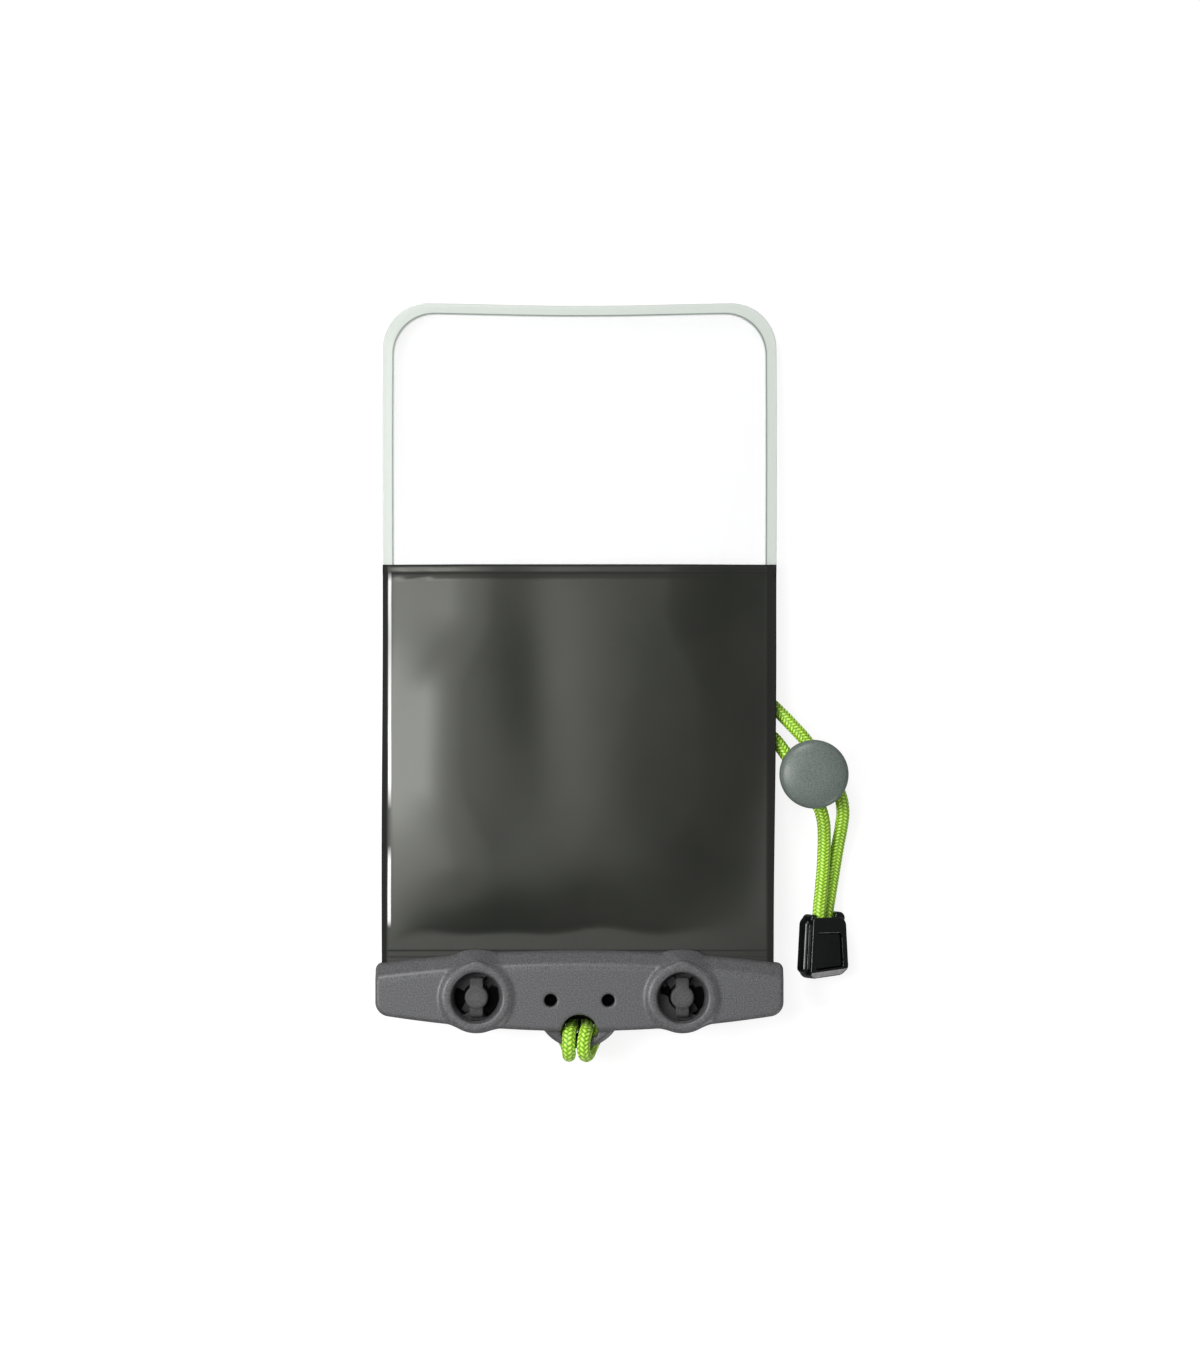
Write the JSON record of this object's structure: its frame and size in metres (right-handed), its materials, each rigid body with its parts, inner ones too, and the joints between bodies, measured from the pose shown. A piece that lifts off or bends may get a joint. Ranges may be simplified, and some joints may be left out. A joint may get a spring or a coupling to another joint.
{
  "type": "waterproof phone case",
  "caption": "Welded film pouch for a phone, clear with a grey rear panel, shut by a hard clip with twist levers, on a braided wrist lanyard with a cord lock.",
  "frame": {"origin": "middle of the case, without its lanyard, on the surface that it lies on", "axes": "+Y from the clip to the far end of the pouch, +Z out of the back of the case, which faces up, +X to the right seen from there"},
  "size_m": [0.1341, 0.2153, 0.0184],
  "materials": {
    "clear_film": "clear soft polyurethane film, glossy",
    "grey_film": "dark grey soft polyurethane film, satin gloss",
    "clip_plastic": "grey moulded nylon, fine matte grain",
    "lever_plastic": "grey moulded nylon, fine matte grain",
    "braided_cord": "lime green braided polyester",
    "lock_plastic": "grey moulded plastic, matte",
    "spring_steel": "drawn wire",
    "cord_end_plastic": "black moulded plastic, glossy"
  },
  "bodies": {
    "case": {"front_film": "clear_film", "back_window": "clear_film", "back_panel": "grey_film", "clip_front": "clip_plastic", "clip_back": "clip_plastic", "lanyard_cord_a": "braided_cord", "lanyard_cord_b": "braided_cord", "cord_lock_barrel": "lock_plastic", "cord_lock_spring": "spring_steel", "cord_end_body": "cord_end_plastic", "cord_end_cover": "cord_end_plastic"},
    "left_lever": {"lever_left": "lever_plastic"},
    "right_lever": {"lever_right": "lever_plastic"},
    "lock_plunger": {"cord_lock_plunger": "lock_plastic"}
  },
  "joints": [
    {"name": "left_lever_turn", "type": "hinge", "parent": "case", "child": "left_lever", "pos_m": [-0.029, -0.091, 0], "axis": [0, 0, 1], "range_deg": [0, 125]},
    {"name": "right_lever_turn", "type": "hinge", "parent": "case", "child": "right_lever", "pos_m": [0.029, -0.091, 0], "axis": [0, 0, -1], "range_deg": [0, 125]},
    {"name": "lock_press", "type": "slide", "parent": "case", "child": "lock_plunger", "axis": [0, 0, -1], "range_m": [0, 0.003], "stiffness_N_per_m": 600, "deforming": ["cord_lock_spring"]}
  ]
}
